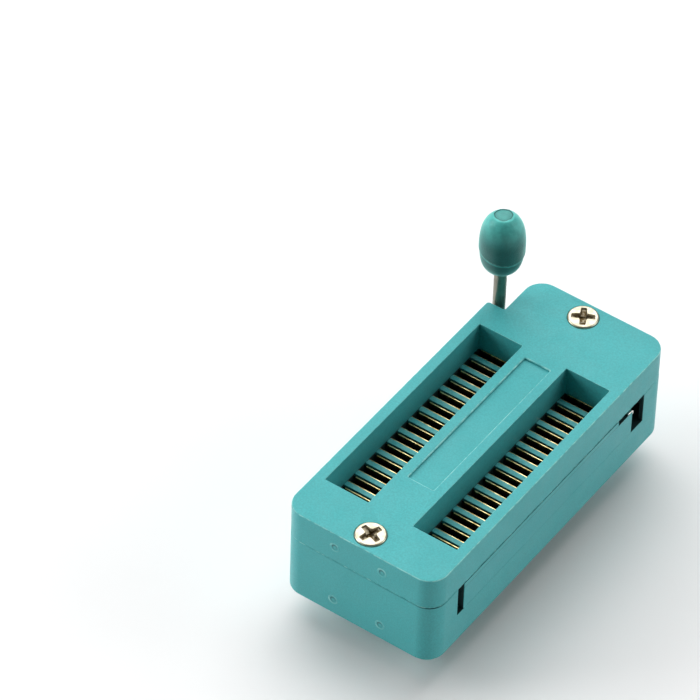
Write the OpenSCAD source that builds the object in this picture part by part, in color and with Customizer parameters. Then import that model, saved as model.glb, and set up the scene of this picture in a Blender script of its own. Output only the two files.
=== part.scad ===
// Lever-operated socket for a dual in-line package, with two rows of folded twin-leaf contacts.
// Lifting the lever lets a slotted slide spring back, so a package drops in with no force.
// Millimetres. +Z is up, +Y points to the lever end, the origin is the middle of the board seat.

/* [Contact field] */
// Contacts in each row
contacts_per_row = 14; // [10:1:18]
// Distance between neighbouring contacts of a row
pitch = 2.54; // [2.5:0.02:2.6]
// Distance between the two rows
row_spacing = 15.24; // [15:0.04:15.6]
// Width of a spring leaf, across the row
leaf_w = 5.9; // [5:0.1:6.2]
// Thickness of the contact strip
strip_t = 0.2; // [0.15:0.01:0.22]
// Width of a solder tail, across the row
tail_w = 1.1; // [0.8:0.1:1.4]
// Thickness of a solder tail, two folded layers
tail_t = 0.42; // [0.36:0.02:0.5]
// Length of a solder tail below the board seat
tail_l = 4.5; // [3:0.1:5]

/* [Body] */
// Width of the body
body_w = 25.2; // [25:0.1:27]
// From the plain end to the first contact
plain_margin = 9.6; // [9.4:0.1:12]
// From the last contact to the lever end
lever_margin = 14.6; // [14.4:0.1:17]
// Height of the base, from its underside to the parting plane
base_h = 10.45; // [10:0.05:11]
// Thickness of the base floor under the slide
floor_h = 5.2; // [4.6:0.1:5.4]
// Radius of the upright corners
corner_r = 3; // [2:0.1:3.4]
// Length of each solid end block of the base
end_block = 5.85; // [5.6:0.05:6]
// Diameter of the feet
foot_d = 4.5; // [3.5:0.1:5]
// Height of the feet
foot_h = 0.5; // [0.3:0.05:0.8]
// Distance of the end feet from the ends and sides
foot_inset = 2.75; // [2.6:0.05:3.2]
// Width of the shallow recess in the underside
recess_w = 3.4; // [2:0.1:4.5]
// Length of the shallow recess in the underside
recess_l = 5.7; // [4:0.1:8]
// Distance of the recess from the plain end
recess_inset = 12.95; // [10:0.05:14]
// Depth of the shallow recess in the underside
recess_d = 0.3; // [0.1:0.05:0.4]

/* [Cover] */
// Thickness of the cover
cover_h = 5.3; // [4.5:0.1:6.5]
// Distance between the middles of the two lead channels
channel_spacing = 14.6; // [14.4:0.1:14.8]
// Width of a lead channel
channel_w = 7.2; // [7:0.1:7.4]
// Length of a lead channel past the first and last contact, both together
channel_over = 4.1; // [4.08:0.02:4.4]
// Width of the recessed panel on the middle land
panel_w = 4.2; // [3:0.1:5]
// Length of the recessed panel on the middle land
panel_l = 28.3; // [15:0.1:29]
// Depth of the recessed panel
panel_d = 0.35; // [0.1:0.05:0.6]
// Width of the corner notch that the lever stands in
notch_w = 2.85; // [2.8:0.05:3.1]
// Length of the corner notch
notch_l = 8.1; // [8:0.05:8.6]

/* [Slide] */
// Travel of the slide between open and closed
travel = 0.75; // [0.6:0.01:0.8]
// Gap between the slide and the plain end block, lever up
slide_gap = 1.45; // [1.2:0.05:1.6]
// Gap between the slide and the lever end block, lever up
lever_gap = 2.6; // [2.5:0.05:2.8]
// Running clearance above and below the slide
slide_clear = 0.08; // [0.05:0.01:0.12]
// Height of the slotted lands above the slide
land_h = 0.4; // [0.3:0.05:0.6]
// Length of a slot along the row
slot_l = 1.72; // [1.7:0.01:1.74]
// From a tail to the middle of its slot, towards the lever
slot_offset = 1.64; // [1.62:0.01:1.66]
// Thickness of the steel wear strip on the slide's lever end
wear_t = 0.25; // [0.2:0.01:0.3]

/* [Lever] */
// Diameter of the lever rod
rod_d = 1.85; // [1.7:0.01:1.9]
// From the axle to the middle of the knob
lever_l = 18.6; // [16:0.1:24]
// Distance of the axle from the lever end
axle_back = 6.81; // [6.75:0.01:6.9]
// Depth of the axle below the parting plane
axle_drop = 2.2; // [2.1:0.05:2.4]
// Distance of the lever arm from the side of the body
arm_inset = 1.05; // [1.03:0.01:1.2]
// Diameter of the knob
knob_d = 6.6; // [5:0.1:8]
// Length of the knob
knob_l = 10.5; // [9:0.1:12]
// Diameter of the flat on the knob's tip
tip_d = 2.7; // [2:0.1:3.2]
// Height of the knob's moulding seam above its lower end
seam_h = 3.2; // [2.5:0.1:4]
// Wall of the eccentric cam where it is thinnest
cam_wall = 0.2; // [0.15:0.01:0.22]

/* [Cover screws] */
// Diameter of a screw head
head_d = 4.45; // [4:0.05:4.8]
// Height of a screw head
head_h = 1.3; // [1:0.1:1.6]
// How far a screw head stands out of the cover
head_proud = 0.35; // [0.1:0.05:0.5]
// Diameter of a screw shank
shank_d = 2.5; // [2:0.1:2.6]
// Length of a screw shank
shank_l = 11; // [8:0.5:12]
// Distance of the screws from the ends
screw_inset = 2.85; // [2.8:0.05:3]

/* [Hidden] */
$fn = 64;
SIDES = [["left", -1], ["right", 1]];
NUMBERS = [1 : contacts_per_row];

// Heights
under_z = foot_h;
floor_z = under_z + floor_h;
part_z = under_z + base_h;
top_z = part_z + cover_h;
slide_z0 = floor_z + slide_clear;
slide_z1 = part_z - slide_clear;

// Lengths along the body
row_l = (contacts_per_row - 1) * pitch;
body_l = plain_margin + row_l + lever_margin;
plain_y = -body_l / 2;
lever_y = body_l / 2;
row_mid_y = plain_y + plain_margin + row_l / 2;
window_y0 = plain_y + end_block;
window_y1 = lever_y - end_block;
channel_l = row_l + channel_over;
slide_y0 = window_y0 + slide_gap;
slide_y1 = window_y1 - lever_gap;

// Contacts and their slots
tail_x = row_spacing / 2;
leaf_x = channel_spacing / 2;
slot_y0 = slot_offset - slot_l / 2;
slot_y1 = slot_offset + slot_l / 2;
slot_over = 0.1;
slot_w = channel_w + 2 * slot_over;
fixed_leaf_gap = 0.04;
fixed_leaf_w = channel_w - slot_over;
fixed_leaf_y = slot_y0 + fixed_leaf_gap;
fixed_leaf_drop = 0.13;
fixed_leaf_z = part_z + land_h - fixed_leaf_drop;
spring_leaf_gap = 0.52;
spring_leaf_y = slot_y1 - spring_leaf_gap - strip_t;
spring_leaf_rise = 0.25;
spring_leaf_z = part_z + land_h + spring_leaf_rise;
root_w = 3;
trench_floor = 1.1;
trench_h = 0.8;
trench_z0 = under_z + trench_floor;
trench_z1 = trench_z0 + trench_h;
pocket_room = 0.1;
tail_room = 0.1;

// Slide lands, and the step in the slide's top that the wear strip laps into
land_room = 0.12;
land_side_room = 0.06;
land_y0 = row_mid_y - channel_l / 2 + travel + land_room;
land_y1 = row_mid_y + channel_l / 2 - land_room;
lap_l = 1.3;
step_l = 3.7;
step_d = 0.9;
step_lap = 0.05;
step_y = min(slide_y1 - step_l, contact_y(1) + slot_y1 - step_lap);
wear_lift = 0.6;
wear_z0 = slide_z0 + wear_lift;
wear_z1 = slide_z1 - step_d + wear_t;

// Lever, its axle and the eccentric cam, with the cam a hair off the wear strip
rod_r = rod_d / 2;
bearing_gap = 0.05;
axle_y = lever_y - axle_back;
axle_z = part_z - axle_drop;
arm_x = -body_w / 2 + arm_inset;
bend_r = notch_w - arm_inset - bearing_gap;
bearing_x0 = -body_w / 2 + notch_w;
bearing_t = 1.8;
bearing_front = 0.25;
axle_short = 0.2;
axle_x1 = -bearing_x0 - axle_short;
cam_e = travel / 2;
cam_r = rod_r + cam_e * sqrt(2) + cam_wall;
cam_gap = 0.03;
cam_w = 9;
nose_over = 1;
nose_w = cam_w + nose_over;
nose_y = axle_y + cam_e - cam_r - cam_gap;
cam_room = 0.22;
cam_room_y = axle_y + cam_e + cam_r + cam_room;
arm_room = 0.3;
arm_slot_z = axle_z - rod_r - arm_room;

// Room in the lever end block, behind the jamb of the window away from the lever
jamb_t = 0.7;
end_wall = 3.1;

// Knob: its ends are rounded as |u|^power + |r|^power = 1, and the upper one is cut flat at the tip
knob_power = 3.2;
knob_steps = 24;
seam_step = 0.08;
tip_u = pow(1 - pow(tip_d / knob_d, knob_power), 1 / knob_power);
knob_half = knob_l / (1 + tip_u);
rod_cover = 3;
rod_top = lever_l + knob_l / 2 - rod_cover;

// Screws
bore_play = 0.1;
pilot_spare = 0.45;
cross_l = 2.6;
cross_w = 0.56;
cross_d = 0.9;

function contact_name(side, i) = str("contact_", side[0], i < 10 ? "_0" : "_", i);

// Contact 1 of each row is the one nearest the lever
function contact_y(i) = lever_y - lever_margin - (i - 1) * pitch;

// A box from its low corner to its high corner
module box(low, high) {
  translate(low) cube(high - low);
}

// A box centred on x = 0, from y0 to y1 and z0 to z1
module bar(width, y0, y1, z0, z1) {
  box([-width / 2, y0, z0], [width / 2, y1, z1]);
}

// The body's outline: a rectangle with rounded corners
module outline() {
  square([body_w - 2 * corner_r, body_l], center = true);
  square([body_w, body_l - 2 * corner_r], center = true);
  for (x = [-1, 1], y = [-1, 1])
    translate([x * (body_w / 2 - corner_r), y * (body_l / 2 - corner_r)]) circle(corner_r);
}

module slab(z0, z1) {
  translate([0, 0, z0]) linear_extrude(z1 - z0) outline();
}

// The lever's corner, cut away from y0 to the lever end, with what is left rounded off there
module lever_notch(y0, z0, z1) {
  notch_x = -body_w / 2 + notch_w;
  translate([0, 0, z0])
    linear_extrude(z1 - z0) {
      translate([-body_w, y0]) square([body_w + notch_x, lever_y - y0 + 1]);
      translate([notch_x, lever_y - corner_r])
        difference() {
          translate([-0.1, 0]) square(corner_r + 0.1);
          translate([corner_r, 0]) circle(corner_r);
        }
    }
}

// A cylinder along +X
module rod_x(r, x0, x1) {
  translate([x0, 0, 0]) rotate([0, 90, 0]) cylinder(h = x1 - x0, r = r);
}

// At every contact of both rows, a given distance from the middle
module at_each_contact(x) {
  for (side = SIDES, i = NUMBERS) translate([side[1] * x, contact_y(i), 0]) children();
}

module at_each_screw() {
  for (end = [-1, 1]) translate([0, end * (body_l / 2 - screw_inset), 0]) children();
}

module feet() {
  foot_x = body_w / 2 - foot_inset;
  foot_y = body_l / 2 - foot_inset;
  for (x = [-foot_x, 0, foot_x], y = [-foot_y, foot_y])
    translate([x, y, 0]) cylinder(h = foot_h, d = foot_d);
  cylinder(h = foot_h, d = foot_d);
}

// Room in the base floor for the leaves of one contact
module leaf_pocket() {
  bar(slot_w, fixed_leaf_y - pocket_room, spring_leaf_y + strip_t + pocket_room, trench_z0 + trench_h / 2, part_z);
}

// The trench under one row of pockets, which the roots of its contacts lie in
module root_trench() {
  y0 = contact_y(contacts_per_row) - tail_t / 2 - pocket_room;
  y1 = contact_y(1) + spring_leaf_y + strip_t + pocket_room;
  bar(root_w + 2 * pocket_room, y0, y1, trench_z0, trench_z1);
}

// The hole in the underside for one solder tail
module tail_hole() {
  bar(tail_w + 2 * tail_room, -tail_t / 2 - tail_room, tail_t / 2 + tail_room, -1, trench_z1);
}

// The two walls that carry the axle
module axle_bearings() {
  for (x = [bearing_x0, -bearing_x0 - bearing_t])
    box([x, slide_y1 + bearing_front, floor_z - 1], [x + bearing_t, cam_room_y + 1, part_z]);
}

// The groove that the axle lies in, open to the cover
module axle_groove() {
  groove_r = rod_r + bearing_gap;
  translate([0, axle_y, axle_z]) {
    rod_x(groove_r, -body_w, -bearing_x0);
    box([-body_w, -groove_r, 0], [-bearing_x0, groove_r, base_h]);
  }
}

module base() {
  pilot_z = top_z + head_proud - head_h - shank_l - pilot_spare;
  recess_y = plain_y + recess_inset;
  color("#2b7d86")
    difference() {
      union() {
        difference() {
          slab(under_z, part_z);
          bar(2 * body_w, window_y0, window_y1, floor_z, part_z + 1);
          bar(-2 * (bearing_x0 + bearing_t), window_y1 - 1, cam_room_y, floor_z, part_z + 1);
          box([-bearing_x0, window_y1 - 1, floor_z], [body_w / 2 - jamb_t, lever_y - end_wall, part_z + 1]);
          lever_notch(window_y1 - 1, arm_slot_z, part_z + 1);
        }
        axle_bearings();
        feet();
      }
      axle_groove();
      at_each_screw() translate([0, 0, pilot_z]) cylinder(h = base_h, d = shank_d + bore_play);
      at_each_contact(leaf_x) leaf_pocket();
      for (side = SIDES) translate([side[1] * leaf_x, 0, 0]) root_trench();
      at_each_contact(tail_x) tail_hole();
      bar(recess_w, recess_y, recess_y + recess_l, under_z - 1, under_z + recess_d);
    }
}

// The cover, with two lugs under it that hold the axle down in its grooves
module top_cover() {
  lug_room = 0.1;
  color("#2f8690") {
    difference() {
      slab(part_z, top_z);
      for (side = SIDES)
        translate([side[1] * leaf_x, row_mid_y, part_z - 1])
          linear_extrude(cover_h + 2) square([channel_w, channel_l], center = true);
      lever_notch(lever_y - notch_l, part_z - 1, top_z + 1);
      bar(panel_w, -panel_l / 2, panel_l / 2, top_z - panel_d, top_z + 1);
      at_each_screw() {
        translate([0, 0, part_z - 1]) cylinder(h = cover_h + 2, d = shank_d + bore_play);
        translate([0, 0, top_z - head_h + head_proud]) cylinder(h = head_h, d = head_d + bore_play);
      }
    }
    for (x = [bearing_x0, -bearing_x0 - bearing_t])
      box([x + lug_room, axle_y - rod_r + lug_room, axle_z + rod_r + bearing_gap],
          [x + bearing_t - lug_room, axle_y + rod_r - lug_room, part_z + 1]);
  }
}

module slide_plate() {
  color("#2a7780")
    difference() {
      union() {
        bar(body_w, slide_y0, slide_y1 - wear_t, slide_z0, slide_z1);
        bar(nose_w - 2 * wear_t, slide_y0, nose_y - wear_t, wear_z0, slide_z1 - step_d);
        for (side = SIDES)
          translate([side[1] * leaf_x, 0, 0])
            bar(channel_w - 2 * land_side_room, land_y0, land_y1, slide_z0, part_z + land_h);
      }
      bar(2 * body_w, step_y, lever_y, slide_z1 - step_d, part_z);
      at_each_contact(leaf_x) bar(slot_w, slot_y0, slot_y1, floor_z, top_z);
    }
}

// A bent steel strip: down the slide's lever end, stepped out over the nose, and lapped on top
module slide_wear_strip() {
  color("#c9ccd0") {
    difference() {
      union() {
        bar(body_w, slide_y1 - wear_t, slide_y1, wear_z0, wear_z1);
        bar(nose_w, slide_y1 - wear_t, nose_y, wear_z0, wear_z1);
      }
      bar(nose_w - 2 * wear_t, slide_y0, nose_y - wear_t, wear_z0 - 1, slide_z1 - step_d);
    }
    bar(body_w, slide_y1 - lap_l, slide_y1 - wear_t, slide_z1 - step_d, wear_z1);
  }
}

// One bent rod: the arm up to the knob, a quarter bend and the axle across the body
module lever_rod() {
  color("#b9bcc0")
    translate([0, axle_y, axle_z]) {
      rod_x(rod_r, arm_x + bend_r, axle_x1);
      translate([arm_x + bend_r, 0, bend_r])
        rotate([90, 0, 0])
          rotate([0, 0, 180])
            rotate_extrude(angle = 90) translate([bend_r, 0]) circle(rod_r);
      translate([arm_x, 0, bend_r]) cylinder(h = rod_top - bend_r, r = rod_r);
    }
}

module lever_cam() {
  color("#a9adb2")
    translate([0, axle_y, axle_z])
      difference() {
        translate([0, cam_e, -cam_e]) rod_x(cam_r, -cam_w / 2, cam_w / 2);
        rod_x(rod_r, -cam_w, cam_w);
      }
}

// Points of the knob's half profile between two angles, measured from the lower end, less an inward step
function knob_arc(from, to, step) = [
  for (k = [0 : knob_steps])
    let (u = -cos(from + (to - from) * k / knob_steps))
      [max(knob_d / 2 * pow(1 - pow(abs(u), knob_power), 1 / knob_power) - step, 0), knob_half * (1 + u)]
];

// The knob's half profile: a lower cap, the seam where it meets the upper moulding, and the flat tip
module knob_profile() {
  seam_angle = acos(1 - seam_h / knob_half);
  tip_angle = acos(-tip_u);
  polygon(concat(
    knob_arc(0, seam_angle, seam_step),
    knob_arc(seam_angle, tip_angle, 0),
    [[0, knob_l]]
  ));
}

module lever_knob() {
  color("#2f8690")
    translate([arm_x, axle_y, axle_z])
      difference() {
        translate([0, 0, lever_l - knob_l / 2]) rotate_extrude() knob_profile();
        cylinder(h = rod_top, r = rod_r);
      }
}

// A cheese-head screw with a cross recess, its head seated in the cover
module cover_screw(end) {
  seat_z = top_z + head_proud - head_h;
  color("#c4c8c6")
    translate([0, end * (body_l / 2 - screw_inset), seat_z])
      difference() {
        union() {
          cylinder(h = head_h, d = head_d);
          translate([0, 0, -shank_l]) cylinder(h = shank_l + 0.1, d = shank_d);
        }
        for (turn = [0, 90])
          rotate([0, 0, turn]) bar(cross_l, -cross_w / 2, cross_w / 2, head_h - cross_d, head_h + 1);
      }
}

// One leaf: a neck up from the root, and the wide leaf above the trench
module leaf(width, y, top) {
  bar(root_w, y, y + strip_t, trench_z0, trench_z1 + 2 * pocket_room);
  bar(width, y, y + strip_t, trench_z1 + pocket_room, top);
}

// A folded strip: a two-layer tail, a root on the trench floor, a fixed leaf and a spring leaf
module contact(side, i) {
  color("#a8873f")
    translate([0, contact_y(i), 0]) {
      translate([side[1] * tail_x, 0, 0]) bar(tail_w, -tail_t / 2, tail_t / 2, -tail_l, trench_z0 + strip_t);
      translate([side[1] * leaf_x, 0, 0]) {
        bar(root_w, -tail_t / 2, spring_leaf_y + strip_t, trench_z0, trench_z0 + strip_t);
        leaf(fixed_leaf_w, fixed_leaf_y, fixed_leaf_z);
        leaf(leaf_w, spring_leaf_y, spring_leaf_z);
      }
    }
}

base();
top_cover();
slide_plate();
slide_wear_strip();
lever_rod();
lever_cam();
lever_knob();
cover_screw(-1);  // cover_screw_front
cover_screw(1);  // cover_screw_rear
for (side = SIDES, i = NUMBERS)
  contact(side, i);
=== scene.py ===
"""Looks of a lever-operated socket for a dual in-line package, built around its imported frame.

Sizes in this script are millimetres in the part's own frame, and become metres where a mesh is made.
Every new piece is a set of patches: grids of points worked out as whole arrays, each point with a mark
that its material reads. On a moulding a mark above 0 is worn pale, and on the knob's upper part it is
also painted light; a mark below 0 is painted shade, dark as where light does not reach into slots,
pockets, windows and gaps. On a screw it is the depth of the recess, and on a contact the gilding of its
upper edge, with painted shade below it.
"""

import bpy
import numpy as np
from mathutils import Matrix, Vector
from mathutils.geometry import delaunay_2d_cdt


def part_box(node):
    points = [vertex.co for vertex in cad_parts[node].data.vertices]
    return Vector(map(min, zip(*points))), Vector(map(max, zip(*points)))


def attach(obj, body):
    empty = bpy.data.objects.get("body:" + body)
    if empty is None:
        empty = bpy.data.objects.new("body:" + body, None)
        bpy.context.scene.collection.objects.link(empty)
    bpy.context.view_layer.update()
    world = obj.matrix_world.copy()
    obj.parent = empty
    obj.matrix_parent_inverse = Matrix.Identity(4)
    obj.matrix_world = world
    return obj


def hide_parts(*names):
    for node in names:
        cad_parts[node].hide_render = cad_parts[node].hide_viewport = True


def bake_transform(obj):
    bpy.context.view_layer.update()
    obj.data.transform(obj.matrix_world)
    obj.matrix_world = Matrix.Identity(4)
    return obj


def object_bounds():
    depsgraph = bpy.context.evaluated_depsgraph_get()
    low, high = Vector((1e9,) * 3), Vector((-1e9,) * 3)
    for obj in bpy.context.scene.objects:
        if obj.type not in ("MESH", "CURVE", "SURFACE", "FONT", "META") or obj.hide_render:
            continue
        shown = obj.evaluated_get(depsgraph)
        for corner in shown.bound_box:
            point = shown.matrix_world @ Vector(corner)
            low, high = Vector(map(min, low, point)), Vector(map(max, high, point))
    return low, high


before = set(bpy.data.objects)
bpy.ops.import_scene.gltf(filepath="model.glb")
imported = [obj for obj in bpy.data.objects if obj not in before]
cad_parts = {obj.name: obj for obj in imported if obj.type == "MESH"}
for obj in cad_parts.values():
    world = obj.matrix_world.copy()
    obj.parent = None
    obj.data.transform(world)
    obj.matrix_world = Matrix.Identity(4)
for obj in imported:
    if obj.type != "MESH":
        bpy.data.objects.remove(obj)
cad_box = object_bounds()

MM = 0.001
TINY = 1e-6
MERGE_STEPS = 2000
SMOOTH_ANGLE = np.radians(32)
# The mark of painted shade, set where light does not reach: slots, pockets, windows and gaps.
PAINTED_SHADE = -1.0
CONTACTS = 14
SIDES = {"left": -1, "right": 1}


def node_box(node):
    """Low and high corner of a CAD node, in millimetres."""
    low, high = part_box(node)
    return np.array(low) / MM, np.array(high) / MM


def contact_name(side, i):
    """Name of a contact's CAD node, counted from the lever end."""
    return f"contact_{side}_{i:02d}"


# Sizes taken from the frame
base_high = node_box("base")[1]
cover_low, cover_high = node_box("top_cover")
slide_low, slide_high = node_box("slide_plate")
wear_low, wear_high = node_box("slide_wear_strip")
knob_low, knob_high = node_box("lever_knob")
rod_low, rod_high = node_box("lever_rod")
screw_boxes = {name: node_box(name) for name in ("cover_screw_front", "cover_screw_rear")}
screw_y = {name: (low[1] + high[1]) / 2 for name, (low, high) in screw_boxes.items()}
HALF_W = base_high[0]
HALF_L = base_high[1]
PART_Z = base_high[2]
TOP_Z = cover_high[2]
LAND_TOP = slide_high[2]
ARM_X = (knob_low[0] + knob_high[0]) / 2
AXLE_Y = (rod_low[1] + rod_high[1]) / 2
ROD_R = (rod_high[1] - rod_low[1]) / 2
AXLE_Z = rod_low[2] + ROD_R
HEAD_R = (screw_boxes["cover_screw_front"][1][0] - screw_boxes["cover_screw_front"][0][0]) / 2

# Sizes of the mouldings that the frame's boxes do not give
CORNER_R, CORNER_STEPS = 3.0, 10
UNDER_Z = 0.5
FLOOR_Z = 5.7
WINDOW_Y = HALF_L - 5.85
SLIDE_END = WINDOW_Y - 2.6
CHANNEL_X, CHANNEL_W = 7.3, 7.2
CHANNEL_Y0, CHANNEL_Y1 = -21.06, 16.06
PANEL_W, PANEL_L, PANEL_D, PANEL_Y = 4.2, 28.3, 0.35, 0.2
NOTCH_X = -HALF_W + 2.85
NOTCH_Y = HALF_L - 8.1
BEARING_T = 1.8
BEARING_Y = SLIDE_END + 0.25
GROOVE_R = ROD_R + 0.05
CAM_ROOM_Y = 24.05
JAMB_X, JAMB_Y = HALF_W - 0.7, HALF_L - 3.1
JAMB_R = 0.12
ARM_SLOT_Z = AXLE_Z - ROD_R - 0.3
SCREW_BORE_R = 1.3
SEAT_Z = TOP_Z - 0.95
RECESS_D = 0.95
EJECTOR_X, EJECTOR_UP = 3.9, 2.7

# Sizes of the contacts, each measured from its tail
TAIL_X, TAIL_W, TAIL_T = 15.24 / 2, 1.1, 0.42
STRIP_T = 0.2
ROOT_Z = UNDER_Z + 1.1
SLOT_W, SLOT_Y0, SLOT_Y1 = 7.4, 0.78, 2.50
FIXED_Y, FIXED_W, FIXED_TOP = 0.92, 7.1, LAND_TOP - 0.13
SPRING_Y, SPRING_W, SPRING_TOP, SPRING_BOW = 1.88, 5.9, LAND_TOP + 0.25, -0.35
row_y = np.array([node_box(contact_name("left", i))[0][1] for i in range(1, CONTACTS + 1)]) + TAIL_T / 2

# How far the mouldings' walls lie inside the frame's box, which the marks and the flash on them reach
BASE_INSET = 0.02
COVER_INSET = 0.04

# Outlines, profiles and patches


def unit(v):
    """Vectors brought to length one."""
    return v / np.linalg.norm(v, axis=-1, keepdims=True)


def smooth(t):
    """Zero below 0, one above 1, and 3t^2 - 2t^3 between."""
    t = np.clip(t, 0, 1)
    return t * t * (3 - 2 * t)


def bell(distance, width):
    """One at no distance, and e^-1 at one width from there."""
    return np.exp(-(distance / width) ** 2)


def rounded(corners, steps):
    """Closed outline through corners (x, y, radius), anticlockwise, each corner turned into an arc.

    The arc's middle lies one radius from both sides, and the outward normal turns evenly from one side's
    normal to the next. A corner of radius 0 on a straight side adds one point there, so that two outlines
    can share it. Returns the points and their outward normals.
    """
    table = np.array(corners, float)
    corner, radius = table[:, :2], table[:, 2:]
    ahead = unit(np.roll(corner, -1, 0) - corner)
    behind = np.roll(ahead, 1, 0)
    cross = behind[:, 0] * ahead[:, 1] - behind[:, 1] * ahead[:, 0]
    turn = np.arctan2(cross, (behind * ahead).sum(1))[:, None]
    bend = np.sign(turn)
    side = np.stack([behind[:, 1], -behind[:, 0]], 1)
    middle = corner - behind * radius * np.tan(np.abs(turn) / 2) - bend * radius * side
    angle = turn * np.linspace(0, 1, steps + 1)
    c, s = np.cos(angle), np.sin(angle)
    normal = np.stack([c * side[:, :1] - s * side[:, 1:], s * side[:, :1] + c * side[:, 1:]], 2)
    point = (middle[:, None] + (bend * radius)[:, None] * normal).reshape(-1, 2)
    apart = np.abs(point - np.roll(point, 1, 0)).max(1) > TINY
    return point[apart], normal.reshape(-1, 2)[apart]


def rectangle(x0, x1, y0, y1, radius=0.1, steps=4):
    """A rectangle with four rounded corners."""
    return rounded([(x0, y0, radius), (x1, y0, radius), (x1, y1, radius), (x0, y1, radius)], steps)


def circle(x, y, radius, count=48):
    """Points at equal angles round a middle, with the radial direction as normal."""
    angle = np.arange(count) * 2 * np.pi / count
    normal = np.stack([np.cos(angle), np.sin(angle)], 1)
    return np.array([x, y]) + radius * normal, normal


def moved(loop, distance):
    """A closed outline's points, moved along their normals."""
    return loop[0] + distance * loop[1]


def edge_up(z, r, steps=4, wear=1.0):
    """Profile of a rounded upper edge: a quarter turn from the wall, r below z, in to the flat at z."""
    a = np.linspace(0, np.pi / 2, steps + 1)
    return np.stack([r * (np.cos(a) - 1), z - r * (1 - np.sin(a)), wear * np.sin(2 * a)], 1)


def edge_down(z, r, steps=4, wear=1.0):
    """Profile of a rounded lower edge: a quarter turn from the flat at z out to the wall, r above it."""
    return edge_up(-z, r, steps, wear)[::-1] * np.array([1, -1, 1])


def plain(z, mark=0.0):
    """One point of a profile, on the wall at a height."""
    return np.array([[0.0, z, mark]])


def closed_grid(points, mark, hole=False, start_pole=False, end_pole=False):
    """Faces of a grid that is closed along its first axis, anticlockwise, and runs upwards along its second.

    Neighbouring points make quads. A row that has shrunk to one point makes triangles instead.
    """
    n, m = points.shape[:2]
    i, j = np.meshgrid(np.arange(n), np.arange(start_pole, m - 1 - end_pole), indexing="ij")
    k = (i + 1) % n
    faces = [np.stack([i * m + j, k * m + j, k * m + j + 1, i * m + j + 1], -1).reshape(-1, 4)]
    i = np.arange(n)
    k = (i + 1) % n
    if start_pole:
        faces.append(np.stack([i * m, k * m + 1, i * m + 1], -1))
    if end_pole:
        faces.append(np.stack([i * m + m - 2, k * m + m - 2, i * m + m - 1], -1))
    if hole:
        faces = [f[:, ::-1] for f in faces]
    return points.reshape(-1, 3), faces, np.broadcast_to(mark, (n, m)).reshape(-1)


def wall(loop, *profile, hole=False):
    """An edge profile (out from the material, height, mark) carried round an outline, bottom to top."""
    rows = np.concatenate(profile)
    point, normal = loop
    away = -1 if hole else 1
    level = point[:, None] + away * normal[:, None] * rows[None, :, :1]
    height = np.broadcast_to(rows[:, 1], level.shape[:2])
    return closed_grid(np.dstack([level, height]), rows[:, 2], hole)


def flat(z, outer, holes=(), up=True, mark=0.0):
    """A level face at a height, inside one outline and outside others, cut into triangles.

    A triangle is kept where a line from its middle along +X crosses the outlines an odd number of times.
    """
    loops = [outer, *holes]
    start = np.concatenate(loops)
    stop = np.concatenate([np.roll(loop, -1, 0) for loop in loops])
    index = np.arange(len(start))
    cuts = np.cumsum([len(loop) for loop in loops])[:-1]
    after = np.concatenate([np.roll(part, -1) for part in np.split(index, cuts)])
    sides = np.stack([index, after], 1).tolist()
    found = delaunay_2d_cdt([Vector(p) for p in start.tolist()], sides, [], 0, TINY)
    plane = np.array([tuple(v) for v in found[0]])
    points = np.column_stack([plane, np.full(len(plane), z)])
    faces = np.array(found[2])
    middle = plane[faces].mean(1)
    straddles = (start[:, 1] > middle[:, 1:]) != (stop[:, 1] > middle[:, 1:])
    rise = np.where(straddles, stop[:, 1] - start[:, 1], 1)
    meets = start[:, 0] + (middle[:, 1:] - start[:, 1]) / rise * (stop[:, 0] - start[:, 0])
    faces = faces[(straddles & (meets > middle[:, :1])).sum(1) % 2 == 1]
    a, b, c = (plane[faces[:, k]] for k in range(3))
    area = (b[:, 0] - a[:, 0]) * (c[:, 1] - a[:, 1]) - (b[:, 1] - a[:, 1]) * (c[:, 0] - a[:, 0])
    faces = np.where(((area > 0) == up)[:, None], faces, faces[:, ::-1])
    return points, [faces], np.full(len(points), mark)


def carried(section, centre, across, outward, mark=0.0):
    """A closed section (two coordinates) carried along a path, each end closed by one flat face.

    A point is the path's centre plus the first coordinate along `across` plus the second along `outward`;
    `across` cross `outward` points along the path.
    """
    points = centre + section[..., :1] * across + section[..., 1:] * outward
    n, m = points.shape[:2]
    flat_points, faces, marks = closed_grid(points, mark)
    ring = np.arange(n) * m
    faces += [ring[None, ::-1], ring[None] + m - 1]
    return flat_points, faces, marks


def dimmed(patch, low, high):
    """A patch with painted shade on every point inside a box."""
    points, faces, marks = patch
    inside = np.all((points > np.array(low)) & (points < np.array(high)), 1)
    return points, faces, np.where(inside, PAINTED_SHADE, marks)


def sunk(patch, corner, depth, reach):
    """A patch whose upper edge is drawn down near a base corner by a bell of distance, darkened as painted
    shade.
    """
    edge_h = 0.2
    points, faces, marks = patch
    near = bell(np.hypot(*(points[:, :2] - corner).T), reach) * (points[:, 2] > PART_Z - edge_h)
    # Painted shade: the same bell lowers the mark, darkening the gap under the cover.
    return points - near[:, None] * np.array([0, 0, depth]), faces, marks - near


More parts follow.
